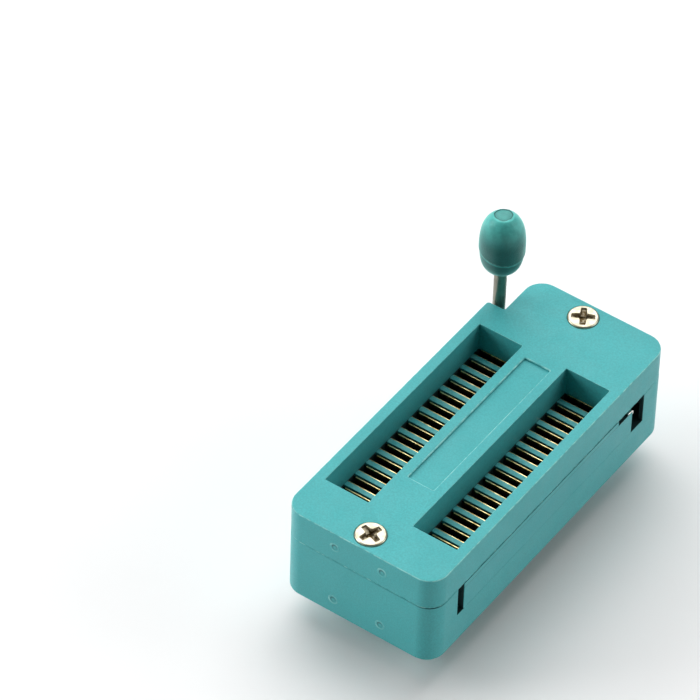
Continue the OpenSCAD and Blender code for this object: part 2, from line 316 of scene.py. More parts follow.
def piece(name, patches, material, body, slot, replaced=(), ride=True):
    """Patches joined into one mesh, with points that coincide merged, so that its seams are closed.

    Where points of several patches are merged, the first patch gives the mark.
    """
    sizes = [len(p[0]) for p in patches]
    starts = np.cumsum([0] + sizes[:-1])
    points = np.concatenate([p[0] for p in patches])
    marks = np.concatenate([p[2] for p in patches])
    keys = np.round(points * MERGE_STEPS).astype(np.int64)
    _, first, where = np.unique(keys, axis=0, return_index=True, return_inverse=True)
    where = where.reshape(-1)
    faces = [row for p, s in zip(patches, starts) for f in p[1] for row in where[f + s].tolist()]
    mesh = bpy.data.meshes.new(name)
    mesh.from_pydata(points[first] * MM, [], faces)
    mesh.attributes.new("mark", "FLOAT", "POINT").data.foreach_set("value", marks[first].astype(np.float32))
    mesh.validate(clean_customdata=False)
    mesh.shade_smooth()
    mesh.set_sharp_from_angle(angle=SMOOTH_ANGLE)
    mesh.materials.append(material)
    obj = bpy.data.objects.new(name, mesh)
    bpy.context.scene.collection.objects.link(obj)
    weigh = obj.modifiers.new("even normals", "WEIGHTED_NORMAL")
    weigh.keep_sharp = True
    if ride:
        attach(obj, body)
    if replaced:
        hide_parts(*replaced)
    return obj


# Materials, with noise scales per metre


def new_material(name):
    """A material with one Principled shader; returns it, a node maker, the shader and a linker to it."""
    material = bpy.data.materials.new(name)
    material.use_nodes = True
    tree = material.node_tree
    shader = tree.nodes["Principled BSDF"]

    def node(kind, inputs=None, **settings):
        made = tree.nodes.new("ShaderNode" + kind)
        for key, value in settings.items():
            setattr(made, key, value)
        for key, value in (inputs or {}).items():
            if isinstance(value, bpy.types.NodeSocket):
                tree.links.new(value, made.inputs[key])
            else:
                made.inputs[key].default_value = value
        return made

    def feed(socket, output):
        tree.links.new(output, shader.inputs[socket])

    return material, node, shader, feed


def noise(node, place, scale, detail):
    """A cloudy noise between 0 and 1."""
    return node("TexNoise", {"Vector": place, "Scale": scale, "Detail": detail}).outputs["Fac"]


def stretched(node, place, scale, turn=(0, 0, 0)):
    """Coordinates turned and scaled, so that a noise on them is drawn out where the scale is small."""
    return node("Mapping", {"Vector": place, "Scale": scale, "Rotation": turn}).outputs[0]


def ramp(node, value, low, high, out_low=0.0, out_high=1.0):
    """A value stretched from one range to another, held at the ends."""
    inputs = {"Value": value, "From Min": low, "From Max": high, "To Min": out_low, "To Max": out_high}
    return node("MapRange", inputs, clamp=True).outputs["Result"]


def times(node, a, b):
    """The product of two values."""
    return node("Math", {0: a, 1: b}, operation="MULTIPLY").outputs[0]


def mix(node, amount, first, second):
    """A colour between two others, by a share of the second."""
    return node("Mix", {0: amount, 6: first, 7: second}, data_type="RGBA").outputs[2]


def shade(colour, factor):
    """A colour made darker or paler by a factor."""
    return tuple(min(c * factor, 1.0) for c in colour[:3]) + (1,)


def bumped(node, feed, height, strength, distance=0.00002):
    """The shader's normal tilted by the slope of a height."""
    bump = node("Bump", {"Height": height, "Strength": strength, "Distance": distance})
    feed("Normal", bump.outputs["Normal"])


def moulded_plastic(name, colour, worn, grain=0.4, roughness=0.45, patchy=0.2):
    """Satin moulded plastic: slow drifts of tone, a fine spark-eroded grain, pale wear, painted shade in
    corners.

    Wear, and on the knob also painted light, follows the mark above 0, broken up by a noise that leaves at
    least a patchy share, and painted shade the mark below 0. Returns the material and its shader.
    """
    drift_scale, gloss_scale, wear_scale, grain_scale = 90, 420, 1100, 4200
    grain_height, pit_tone, painted_shade_tone = 0.00003, 0.75, 0.06
    material, node, shader, feed = new_material(name)
    place = node("TexCoord").outputs["Object"]
    mark = node("Attribute", attribute_name="mark").outputs["Fac"]
    drift = ramp(node, noise(node, place, drift_scale, 3), 0.3, 0.7)
    fine = noise(node, place, grain_scale, 3)
    tone = mix(node, drift, shade(colour, 0.95), shade(colour, 1.05))
    tone = mix(node, ramp(node, fine, 0.35, 0.65, 0, 0.6), tone, shade(colour, pit_tone))
    broken = ramp(node, noise(node, place, wear_scale, 3), 0.38, 0.6, patchy, 1)
    tone = mix(node, times(node, ramp(node, mark, 0, 1), broken), tone, worn)
    # Painted shade: a mark below 0 darkens the colour as where light does not reach.
    tone = mix(node, ramp(node, mark, 0, PAINTED_SHADE), tone, shade(colour, painted_shade_tone))
    feed("Base Color", tone)
    gloss = noise(node, place, gloss_scale, 3)
    feed("Roughness", ramp(node, gloss, 0.3, 0.7, roughness - 0.05, roughness + 0.07))
    bumped(node, feed, fine, grain, grain_height)
    shader.inputs["Specular IOR Level"].default_value = 0.3
    shader.inputs["Sheen Weight"].default_value = 0.2
    shader.inputs["Sheen Roughness"].default_value = 0.45
    return material, shader


def bright_nickel():
    """Nickel plate, warm in tone, with fine scratches and brown dirt down in the recess."""
    dull, bright, brown = (0.50, 0.45, 0.32, 1), (0.68, 0.64, 0.52, 1), (0.11, 0.075, 0.028, 1)
    patch_scale, dirt_scale, scratch_scale = 1200, 1700, 2400
    material, node, shader, feed = new_material("bright_nickel")
    place = node("TexCoord").outputs["Object"]
    recess = node("Attribute", attribute_name="mark").outputs["Fac"]
    patchy = ramp(node, noise(node, place, patch_scale, 3), 0.35, 0.65)
    caked = ramp(node, noise(node, place, dirt_scale, 3), 0.38, 0.56, 0.45, 1)
    dirt = times(node, ramp(node, recess, 0.12, 0.5), caked)
    feed("Base Color", mix(node, dirt, mix(node, patchy, dull, bright), brown))
    feed("Roughness", ramp(node, dirt, 0, 1, 0.4, 0.55))
    lines = stretched(node, place, (1, 7, 1), (0, 0, 0.6))
    bumped(node, feed, noise(node, lines, scratch_scale, 2), 0.03)
    shader.inputs["Metallic"].default_value = 1
    return material


def drawn_steel(name, colour, stretch, roughness=0.3):
    """Drawn steel: fine lines along the drawing direction, and dull patches where hands have worn it."""
    patch_scale, line_scale = 500, 3500
    material, node, shader, feed = new_material(name)
    place = node("TexCoord").outputs["Object"]
    lines = noise(node, stretched(node, place, stretch), line_scale, 3)
    dull = ramp(node, noise(node, place, patch_scale, 4), 0.4, 0.7)
    worn = times(node, dull, ramp(node, lines, 0.3, 0.7))
    feed("Base Color", mix(node, worn, colour, shade(colour, 0.5)))
    feed("Roughness", ramp(node, dull, 0, 1, roughness, roughness + 0.15))
    bumped(node, feed, lines, 0.15)
    shader.inputs["Metallic"].default_value = 1
    return material


def gilt_strip():
    """Gold-plated strip: bright on the leaves' upper edges, painted shade below, dull gold on the tails."""
    gold_dull, gold_bright = (0.5, 0.36, 0.13, 1), (1.0, 0.82, 0.42, 1)
    # Painted shade: below their gilded upper edges the leaves are near black, standing for the shade in the
    # slots.
    shadow_dull, shadow_bright = (0.012, 0.009, 0.004, 1), (0.07, 0.05, 0.02, 1)
    tail_dull, tail_bright = (0.20, 0.14, 0.05, 1), (0.42, 0.31, 0.13, 1)
    patch_scale, grain_scale = 1100, 3000
    material, node, shader, feed = new_material("gilt_strip")
    place = node("TexCoord").outputs["Object"]
    height = node("SeparateXYZ", {0: place}).outputs["Z"]
    patchy = noise(node, stretched(node, place, (1, 1, 0.15)), patch_scale, 4)
    gold = mix(node, ramp(node, patchy, 0.38, 0.62), gold_dull, gold_bright)
    shadow_metal = mix(node, ramp(node, patchy, 0.4, 0.6), shadow_dull, shadow_bright)
    tail = mix(node, ramp(node, patchy, 0.4, 0.6), tail_dull, tail_bright)
    gilded = node("Attribute", attribute_name="mark").outputs["Fac"]
    down = ramp(node, height, ROOT_Z * MM, UNDER_Z * MM)
    feed("Base Color", mix(node, down, mix(node, gilded, shadow_metal, gold), tail))
    feed("Roughness", ramp(node, patchy, 0.3, 0.7, 0.45, 0.28))
    bumped(node, feed, noise(node, place, grain_scale, 2), 0.1)
    shader.inputs["Metallic"].default_value = 1
    return material


def white_paper():
    """Matt white paper with a barely seen drift of tone."""
    drift_scale, low, high = 40, (0.90, 0.90, 0.90, 1), (0.93, 0.93, 0.93, 1)
    material, node, shader, feed = new_material("white_paper")
    place = node("TexCoord").outputs["Object"]
    feed("Base Color", mix(node, noise(node, place, drift_scale, 3), low, high))
    shader.inputs["Roughness"].default_value = 0.9
    shader.inputs["Specular IOR Level"].default_value = 0.1
    return material


# The knob's teal is a darker plastic than the body's, set darker still as painted shade on its front;
# KNOB_PALE is pale wear and painted light on the knob's upper part.
TEAL, SLIDE_TEAL, KNOB_TEAL = (0.052, 0.44, 0.455, 1), (0.052, 0.43, 0.45, 1), (0.012, 0.12, 0.112, 1)
PALE, KNOB_PALE, KNOB_SHEEN = (0.27, 0.66, 0.63, 1), (0.10, 0.56, 0.51, 1), (0.4, 1.0, 0.92, 1)
ROD_GREY, STRIP_GREY = (0.28, 0.265, 0.215, 1), (0.80, 0.79, 0.74, 1)
cover_plastic = moulded_plastic("cover_plastic", TEAL, PALE)[0]
base_plastic = moulded_plastic("base_plastic", TEAL, PALE)[0]
slide_plastic = moulded_plastic("slide_plastic", SLIDE_TEAL, PALE)[0]
knob_plastic, knob_shader = moulded_plastic("knob_plastic", KNOB_TEAL, KNOB_PALE, 0.8, 0.42, 0.75)
knob_shader.inputs["Sheen Weight"].default_value = 1.0
knob_shader.inputs["Sheen Roughness"].default_value = 0.4
knob_shader.inputs["Sheen Tint"].default_value = KNOB_SHEEN
nickel = bright_nickel()
rod_steel = drawn_steel("rod_steel", ROD_GREY, (1, 1, 0.05))
strip_steel = drawn_steel("strip_steel", STRIP_GREY, (0.05, 1, 1))
gilt = gilt_strip()

# Mouldings


def body_outline(inset):
    """The body's outline, a rectangle with rounded corners, drawn in by an inset.

    The points of radius 0 are where the end blocks' outlines leave it.
    """
    x, y, r, jamb = HALF_W - inset, HALF_L - inset, CORNER_R - inset, WINDOW_Y + JAMB_R
    corners = [
        (-x, -y, r), (x, -y, r), (x, -jamb, 0), (x, jamb, 0), (x, y, r),
        (r + NOTCH_X, y, 0), (-x, y, r), (-x, jamb, 0), (-x, -jamb, 0)]
    return rounded(corners, CORNER_STEPS)


def cover_outline(inset):
    """The body's outline with the lever's corner cut away, drawn in by an inset."""
    inner_r, outer_r = 0.35, 0.55
    corners = [
        (-HALF_W, -HALF_L, CORNER_R), (HALF_W, -HALF_L, CORNER_R), (HALF_W, HALF_L, CORNER_R),
        (NOTCH_X, HALF_L, CORNER_R), (NOTCH_X, NOTCH_Y, inner_r), (-HALF_W, NOTCH_Y, outer_r)]
    loop = rounded(corners, CORNER_STEPS)
    return moved(loop, -inset), loop[1]


def ejector_marks(z, inset):
    """The rings that two ejector pins leave on the plain end: a profile turned about lines along -Y.

    The profile rises to a low ring that reaches the frame's box and dips inside it, dark round a pale
    middle. The marks fade round the ring as a cosine.
    """
    count, fade, palest = 28, 0.38, np.radians(130)
    angle = np.arange(count)[:, None] * 2 * np.pi / count
    radius = np.array([0.0, 0.84, 0.78, 0.64, 0.54, 0.44, 0.26, 0.0])
    proud = np.array([-0.5, -0.5, 0.8, 1.0, 0.6, 0.3, 0.2, 0.2]) * inset
    mark = np.array([0, 0, 1.0, 1.3, 0.5, -0.8, -0.4, 0.9])
    uneven = mark * (1 - fade + fade * np.cos(angle - palest))
    across = radius * np.cos(angle)
    ring = np.dstack([across, inset - HALF_L - proud + 0 * across, z + radius * np.sin(angle)])
    places = np.array([[-EJECTOR_X, 0, 0], [EJECTOR_X, 0, 0]])
    return [closed_grid(ring + place, uneven, start_pole=True, end_pole=True) for place in places]


def flash(outline, z, reach, seed):
    """Moulding flash along a parting line: a thin fin whose reach past the wall is a ragged sum of sines.

    The sines run along the outline's length and are cut off at zero and at the given reach. The fin's
    section is a flat quadrilateral with its inner side in the wall.
    """
    count, root, mean, swing, wear = 900, 0.06, 0.27, 1.2, 1.2
    waves = (17, 41, 73, 127, 211)
    point, normal = (np.vstack([v, v[:1]]) for v in outline)
    length = np.concatenate([[0], np.cumsum(np.linalg.norm(np.diff(point, axis=0), axis=1))])
    s = np.linspace(0, length[-1], count, endpoint=False)
    where = np.stack([np.interp(s, length, point[:, k]) for k in range(2)], 1)
    facing = unit(np.stack([np.interp(s, length, normal[:, k]) for k in range(2)], 1))
    turns = 2 * np.pi * s / length[-1]
    ragged = sum(np.sin(k * turns + seed * k) for k in waves) / len(waves)
    tip = np.array([0, 1, 1, 0, 0])
    rise = z + np.array([-0.06, -0.05, 0.06, 0.08, -0.06])
    share = np.clip(mean + swing * ragged, 0, 1)[:, None] * tip
    level = where[:, None] + facing[:, None] * (reach * share - root * (1 - tip))[..., None]
    points = np.dstack([level, np.broadcast_to(rise, level.shape[:2])])
    return closed_grid(points, wear * share)


def top_cover():
    """The cover: an edge profile carried round its outline, with channels, panel and screw seats let in."""
    fillet, rim, panel_rim, seat_rim, under = 0.14, 0.09, 0.2, 0.12, 0.04
    # under_edge_mark is -0.5 here: painted shade along the cover's lower edge at the parting line.
    fillet_wear, rim_wear, panel_wear, seat_wear, under_edge_mark = 1.7, 0.8, 1.6, 0.4, -0.5
    channel_r, panel_r, seat_room, lug_room, shadow = 0.12, 0.2, 0.06, 0.1, 0.03
    flash_z, flash_seed, panel_z = PART_Z + under + 0.02, 1.7, TOP_Z - PANEL_D
    outline = cover_outline(COVER_INSET)
    middles, half = [s * CHANNEL_X for s in SIDES.values()], CHANNEL_W / 2
    channels = [rectangle(x - half, x + half, CHANNEL_Y0, CHANNEL_Y1, channel_r) for x in middles]
    panel = rectangle(-PANEL_W / 2, PANEL_W / 2, PANEL_Y - PANEL_L / 2, PANEL_Y + PANEL_L / 2, panel_r)
    seats = [circle(0, y, HEAD_R + seat_room, 64) for y in screw_y.values()]
    bores = [circle(0, y, SCREW_BORE_R, 32) for y in screw_y.values()]
    lug_y0, lug_y1 = AXLE_Y - ROD_R + lug_room, AXLE_Y + ROD_R - lug_room
    lugs = [rectangle(x + lug_room, x + BEARING_T - lug_room, lug_y0, lug_y1)
            for x in (NOTCH_X, -NOTCH_X - BEARING_T)]
    # Painted shade at the foot of the channel walls and of the panel's wall, and down the screw seats.
    foot = [plain(PART_Z, PAINTED_SHADE), plain(LAND_TOP - shadow, PAINTED_SHADE), plain(LAND_TOP + shadow, -0.1)]
    panel_side = [plain(panel_z), plain(panel_z + 0.05, -0.3), edge_up(TOP_Z, panel_rim, 4, panel_wear)]
    seat_side = [plain(SEAT_Z, PAINTED_SHADE), edge_up(TOP_Z, seat_rim, 3, seat_wear)]
    side = [edge_down(PART_Z, under, 2, under_edge_mark), edge_up(TOP_Z, fillet, 4, fillet_wear)]
    patches = [wall(outline, *side)]
    patches += [flash(outline, flash_z, COVER_INSET, flash_seed)]
    patches += [wall(c, *foot, edge_up(TOP_Z, rim, 3, rim_wear), hole=True) for c in channels]
    patches += [wall(panel, *panel_side, hole=True), flat(panel_z, panel[0])]
    patches += [wall(s, *seat_side, hole=True) for s in seats]
    patches += [flat(SEAT_Z, s[0], [b[0]], mark=PAINTED_SHADE) for s, b in zip(seats, bores)]
    patches += [wall(b, plain(PART_Z), plain(SEAT_Z), hole=True) for b in bores]
    top_holes = [moved(c, rim) for c in channels] + [moved(panel, panel_rim)]
    top_holes += [moved(s, seat_rim) for s in seats]
    patches += [flat(TOP_Z, moved(outline, -fillet), top_holes)]
    under_holes = [loop[0] for loop in channels + bores + lugs]
    patches += [flat(PART_Z, moved(outline, -under), under_holes, up=False)]
    patches += [wall(lug, plain(cover_low[2]), plain(PART_Z)) for lug in lugs]
    patches += [flat(cover_low[2], lug[0], up=False) for lug in lugs]
    patches += ejector_marks(PART_Z + EJECTOR_UP, COVER_INSET)
    return piece("cover_moulding", patches, cover_plastic, "housing", "socket_cover", ["top_cover"])


def base_underside():
    """Patches of the base's underside: an edge profile round the outline, feet, tail holes and a recess."""
    fillet, foot_edge, tail_room, tail_r = 0.11, 0.12, 0.1, 0.08
    foot_x, foot_y, foot_r = HALF_W - 2.75, HALF_L - 2.75, 2.25
    recess_x, recess_y, recess_l, recess_r, recess_z = 1.7, -HALF_L + 12.95, 5.7, 0.3, UNDER_Z + 0.3
    half_w, half_t = TAIL_W / 2 + tail_room, TAIL_T / 2 + tail_room
    outline = body_outline(BASE_INSET)
    feet = [circle(x, y, foot_r) for x in (-foot_x, 0, foot_x) for y in (-foot_y, foot_y)]
    feet += [circle(0, 0, foot_r)]
    recess = rectangle(-recess_x, recess_x, recess_y, recess_y + recess_l, recess_r)
    tails = [rectangle(s * TAIL_X - half_w, s * TAIL_X + half_w, y - half_t, y + half_t, tail_r, 2)
             for s in SIDES.values() for y in row_y]
    holes = [loop[0] for loop in feet + [recess] + tails]
    patches = [wall(outline, edge_down(UNDER_Z, fillet), plain(FLOOR_Z))]
    patches += [flat(UNDER_Z, moved(outline, -fillet), holes, up=False)]
    patches += [wall(f, edge_down(0, foot_edge, 3), plain(UNDER_Z)) for f in feet]
    patches += [flat(0, moved(f, -foot_edge), up=False) for f in feet]
    patches += [wall(recess, plain(UNDER_Z), plain(recess_z), hole=True)]
    patches += [flat(recess_z, recess[0], up=False)]
    # Painted shade down the tail holes: their walls darken towards the bottom, which is dark all over.
    patches += [wall(t, plain(UNDER_Z), plain(ROOT_Z, PAINTED_SHADE), hole=True) for t in tails]
    return patches + [flat(ROOT_Z, t[0], up=False, mark=PAINTED_SHADE) for t in tails]


def base_floor(blocks):
    """Floor patches between the end blocks: a pocket for every contact and window sills, in painted shade."""
    pocket_z, pocket_r, room, sill_r = ROOT_Z + 0.4, 0.1, 0.1, 0.05
    y0, y1 = FIXED_Y - STRIP_T / 2 - room, SPRING_Y + STRIP_T / 2 + room
    pockets = [rectangle(s * CHANNEL_X - SLOT_W / 2, s * CHANNEL_X + SLOT_W / 2, y + y0, y + y1, pocket_r, 2)
               for s in SIDES.values() for y in row_y]
    in_x, out_x, jamb_x, jamb_y = -NOTCH_X + room, HALF_W - 0.08, JAMB_X - room, JAMB_Y - room
    back, front, plain_front = SLIDE_END - 0.2, WINDOW_Y - 0.06, slide_low[1] + 1
    jamb_sill = [
        (in_x, back), (out_x, back), (out_x, front), (jamb_x, front), (jamb_x, jamb_y), (in_x, jamb_y)]
    sills = [rectangle(-out_x, -in_x, back, front, sill_r), rounded([(*c, sill_r) for c in jamb_sill], 4)]
    sills += [rectangle(*sorted((s * in_x, s * out_x)), -front, plain_front, sill_r) for s in SIDES.values()]
    holes = [loop[0] for loop in blocks + pockets + sills]
    # Painted shade on the sills and down in the pockets.
    patches = [flat(FLOOR_Z, loop[0], mark=PAINTED_SHADE) for loop in sills]
    patches += [flat(FLOOR_Z, body_outline(BASE_INSET)[0], holes)]
    patches += [wall(p, plain(pocket_z, PAINTED_SHADE), plain(FLOOR_Z, -0.6), hole=True) for p in pockets]
    return patches + [flat(pocket_z, p[0], mark=PAINTED_SHADE) for p in pockets]


def end_block(loop, z, screw):
    """Patches of an end block: walls from a height up to a soft edge, the top, and a screw's pilot bore."""
    edge, edge_h, pilot_z = 0.05, 0.26, 3.5
    bore = circle(0, screw_y[screw], SCREW_BORE_R, 32)
    patches = [wall(loop, plain(z), plain(PART_Z - edge_h), edge_up(PART_Z, edge, 2, 0.4))]
    patches += [flat(PART_Z, moved(loop, -edge), [bore[0]])]
    return patches + [wall(bore, plain(pilot_z), plain(PART_Z), hole=True), flat(pilot_z, bore[0])]


def base_plain_end():
    """The plain end's block, one top corner sunk with painted shade, and ejector marks: outline and patches.
    """
    sink, sink_reach = 0.17, 3.0
    x, y, corner = HALF_W - BASE_INSET, HALF_L - BASE_INSET, CORNER_R - BASE_INSET
    corners = [(-x, -y, corner), (x, -y, corner), (x, -WINDOW_Y, JAMB_R), (-x, -WINDOW_Y, JAMB_R)]
    loop = rounded(corners, CORNER_STEPS)
    walls, top, *bore = end_block(loop, FLOOR_Z, "cover_screw_front")
    patches = [sunk(patch, (x, -y), sink, sink_reach) for patch in (walls, top)] + bore
    return loop, patches + ejector_marks(UNDER_Z + EJECTOR_UP, BASE_INSET)


def base_lever_end():
    """The block at the lever end, in two levels with room for lever and cam: its outline and its patches."""
    x, y, corner, small, room = HALF_W - BASE_INSET, HALF_L - BASE_INSET, CORNER_R - BASE_INSET, 0.08, 0.1
    bearing, inner, post_y = -NOTCH_X, -NOTCH_X - BEARING_T, AXLE_Y - GROOVE_R
    shared_y, shared_post = WINDOW_Y + small, post_y - small
    jamb = [(bearing, JAMB_Y, small), (JAMB_X, JAMB_Y, small), (JAMB_X, WINDOW_Y, small)]
    low = [
        (x, WINDOW_Y, JAMB_R), (x, y, corner), (corner - bearing, y, 0), (-x, y, corner),
        (-x, WINDOW_Y, JAMB_R), (-bearing, WINDOW_Y, small), (-bearing, shared_post, 0),
        (-bearing, BEARING_Y, small), (-inner, BEARING_Y, small), (-inner, shared_post, 0),
        (-inner, shared_y, 0), (-inner, CAM_ROOM_Y, small), (inner, CAM_ROOM_Y, small),
        (inner, shared_y, 0), (inner, shared_post, 0), (inner, BEARING_Y, small),
        (bearing, BEARING_Y, small), (bearing, shared_post, 0), (bearing, shared_y, 0)]
    high = [
        (x, WINDOW_Y, JAMB_R), (x, y, corner), (-bearing, y, corner), (-bearing, WINDOW_Y, small),
        (-inner, WINDOW_Y, small), (-inner, CAM_ROOM_Y, small), (inner, CAM_ROOM_Y, small),
        (inner, WINDOW_Y, small), (bearing, WINDOW_Y, small)]
    low_loop, high_loop = (rounded(corners + jamb, CORNER_STEPS) for corners in (low, high))
    posts = [rectangle(x0, x0 + BEARING_T, BEARING_Y, post_y, small, CORNER_STEPS)
             for x0 in (-bearing, inner)]
    patches = [wall(low_loop, plain(FLOOR_Z), plain(ARM_SLOT_Z))]
    patches += [flat(ARM_SLOT_Z, low_loop[0], [high_loop[0]] + [p[0] for p in posts])]
    patches += end_block(high_loop, ARM_SLOT_Z, "cover_screw_rear")
    patches += [wall(p, plain(ARM_SLOT_Z), plain(PART_Z)) for p in posts]
    patches += [flat(PART_Z, p[0]) for p in posts]
    # Painted shade in the window round the cam and bearings, inside this box.
    dark_low = (bearing - 2 * room, BEARING_Y - room, FLOOR_Z - room)
    dark_high = (HALF_W - 0.04, JAMB_Y + room, PART_Z - 0.01)
    return low_loop, [dimmed(patch, dark_low, dark_high) for patch in patches]


def base():
    """The base: underside, floor and two end blocks."""
    plain_loop, plain_end = base_plain_end()
    lever_loop, lever_end = base_lever_end()
    patches = base_underside() + lever_end + base_floor([plain_loop, lever_loop]) + plain_end
    return piece("base_moulding", patches, base_plastic, "housing", "socket_base", ["base"])


def slide_plate():
    """The slide: a stepped plate cut through by a slot for every contact, with low bars between the slots."""
    edge, bar_edge, bar_r, lap, proud, soft, shadow = 0.05, 0.04, 0.05, 0.3, 0.004, 0.12, 0.03
    # plate_edge_shade darkens the plate's upper edge as painted shade in the gap under the cover.
    under_edge_mark, plate_edge_shade, bar_wear, bar_edge_wear = 0.3, -1.4, 0.3, 0.5
    under_z, step_z, plate_z = FLOOR_Z + 0.03, PART_Z - 0.98, PART_Z - 0.11
    y0, y1, step_y = slide_low[1], SLIDE_END - 0.25, SLIDE_END - 3.7
    bar_x, bars_end = CHANNEL_W / 2 - 0.02, CHANNEL_Y0 + 0.87
    shared_y = step_y - soft
    starts, ends = row_y + SLOT_Y0, np.minimum(row_y + SLOT_Y1, shared_y)
    bar_y0, bar_y1 = np.append(ends[1:], bars_end) - proud, starts + proud
    corners = [
        (-HALF_W, y0, soft), (HALF_W, y0, soft), (HALF_W, shared_y, 0),
        (HALF_W, y1, soft), (-HALF_W, y1, soft), (-HALF_W, shared_y, 0)]
    lower = rounded(corners, 4)
    upper = rectangle(-HALF_W, HALF_W, y0, step_y, soft)
    slots = [rectangle(s * CHANNEL_X - SLOT_W / 2, s * CHANNEL_X + SLOT_W / 2, a, b, soft, 3)
             for s in SIDES.values() for a, b in zip(starts, ends)]
    bars = [rectangle(s * CHANNEL_X - bar_x, s * CHANNEL_X + bar_x, a, b, bar_r, 3)
            for s in SIDES.values() for a, b in zip(bar_y0, bar_y1)]
    holes = [s[0] for s in slots]
    # Painted shade on the step, down the slot walls and down the bars' sides into the slots.
    lower_side = [edge_down(under_z, edge, 2, under_edge_mark), plain(step_z - 0.05), plain(step_z, PAINTED_SHADE)]
    upper_side = [plain(step_z, PAINTED_SHADE), plain(step_z + 0.05), plain(plate_z - 0.1)]
    upper_side += [edge_up(plate_z, edge, 2, plate_edge_shade)]
    slot_side = [plain(under_z, PAINTED_SHADE), plain(plate_z - shadow, PAINTED_SHADE), plain(plate_z)]
    bar_side = [plain(plate_z - lap, PAINTED_SHADE), edge_up(LAND_TOP, bar_edge, 3, bar_edge_wear)]
    patches = [wall(lower, *lower_side), flat(step_z, lower[0], [upper[0]], mark=PAINTED_SHADE)]
    patches += [flat(under_z, moved(lower, -edge), holes, up=False)]
    patches += [wall(upper, *upper_side), flat(plate_z, moved(upper, -edge), holes)]
    patches += [wall(s, *slot_side, hole=True) for s in slots]
    patches += [flat(LAND_TOP, moved(b, -bar_edge), mark=bar_wear) for b in bars]
    patches += [wall(b, *bar_side) for b in bars]
    patches += [flat(plate_z - lap, b[0], up=False) for b in bars]
    # Painted shade on the slide's near end, inside this box.
    dark_low = (-HALF_W + 0.1, y0 - 1, under_z - 1)
    dark_high = (HALF_W - 0.1, y0 + 0.1, plate_z + 1)
    patches = [dimmed(patch, dark_low, dark_high) for patch in patches]
    return piece("slide_moulding", patches, slide_plastic, "slider", "slide", ["slide_plate"])


def strip_section(half_w, half_t, soft=0.03):
    """An eight-cornered section of a flat strip, wide along its first coordinate, at points of a path."""
    sign_w = np.array([1, 1, 1, -1, -1, -1, -1, 1])
    sign_t = np.array([-1, 1, 1, 1, 1, -1, -1, -1])
    cut_w = np.array([0, 0, 1, 1, 0, 0, 1, 1])
    wide = sign_w[:, None] * (half_w[None] - soft * cut_w[:, None])
    thick = sign_t[:, None] * (half_t - soft * (1 - cut_w[:, None])) + 0 * wide
    return np.dstack([wide, thick])


def wear_strip():
    """The slide's wear strip: a flat section carried up the slide's end, round a quarter circle and back.

    The free end of the lap over the slide lifts as a smooth step, and well below the bend the strip is
    narrower. A box with soft edges stands for the nose that the cam pushes.
    """
    t, corner, lift, side_room, soft = 0.2, 0.4, 0.05, 0.02, 0.05
    nose_x, nose_r = 5.0, 0.08
    waist, waist_z, waist_h, fine_h = 1.2, 0.8, 0.4, 0.9
    z0, z1 = wear_low[2], wear_high[2] - lift
    bend_z = z1 - corner
    turn = np.linspace(0, np.pi / 2, 9)
    mid_r = corner - t / 2
    back = np.linspace(SLIDE_END - corner, wear_low[1], 9)[1:]
    lifted = lift * smooth(np.linspace(0, 1, 9)[1:])
    upright = np.concatenate([[z0], np.linspace(bend_z - fine_h, bend_z, 7)[:-1]])
    y = np.concatenate([0 * upright + SLIDE_END - t / 2, SLIDE_END - corner + mid_r * np.cos(turn), back])
    z = np.concatenate([upright, bend_z + mid_r * np.sin(turn), z1 - t / 2 + lifted])
    heading = np.concatenate([0 * upright, turn, np.full(len(back), np.pi / 2)])
    outward = np.stack([0 * heading, np.cos(heading), np.sin(heading)], 1)
    narrow = waist * (1 - smooth((z - bend_z + waist_z) / waist_h))
    section = strip_section(HALF_W - side_room - narrow, t / 2)
    centre = np.stack([0 * y, y, z], 1)
    nose = rectangle(-nose_x, nose_x, SLIDE_END - t, wear_high[1], nose_r)
    patches = [carried(section, centre[None], np.array([1.0, 0.0, 0.0]), outward[None])]
    patches += [wall(nose, edge_down(z0, soft, 2), edge_up(bend_z, soft, 2))]
    patches += [flat(z0, moved(nose, -soft), up=False), flat(bend_z, moved(nose, -soft))]
    return piece("bent_wear_strip", patches, strip_steel, "slider", "wear_steel", ["slide_wear_strip"])


# Lever and screws


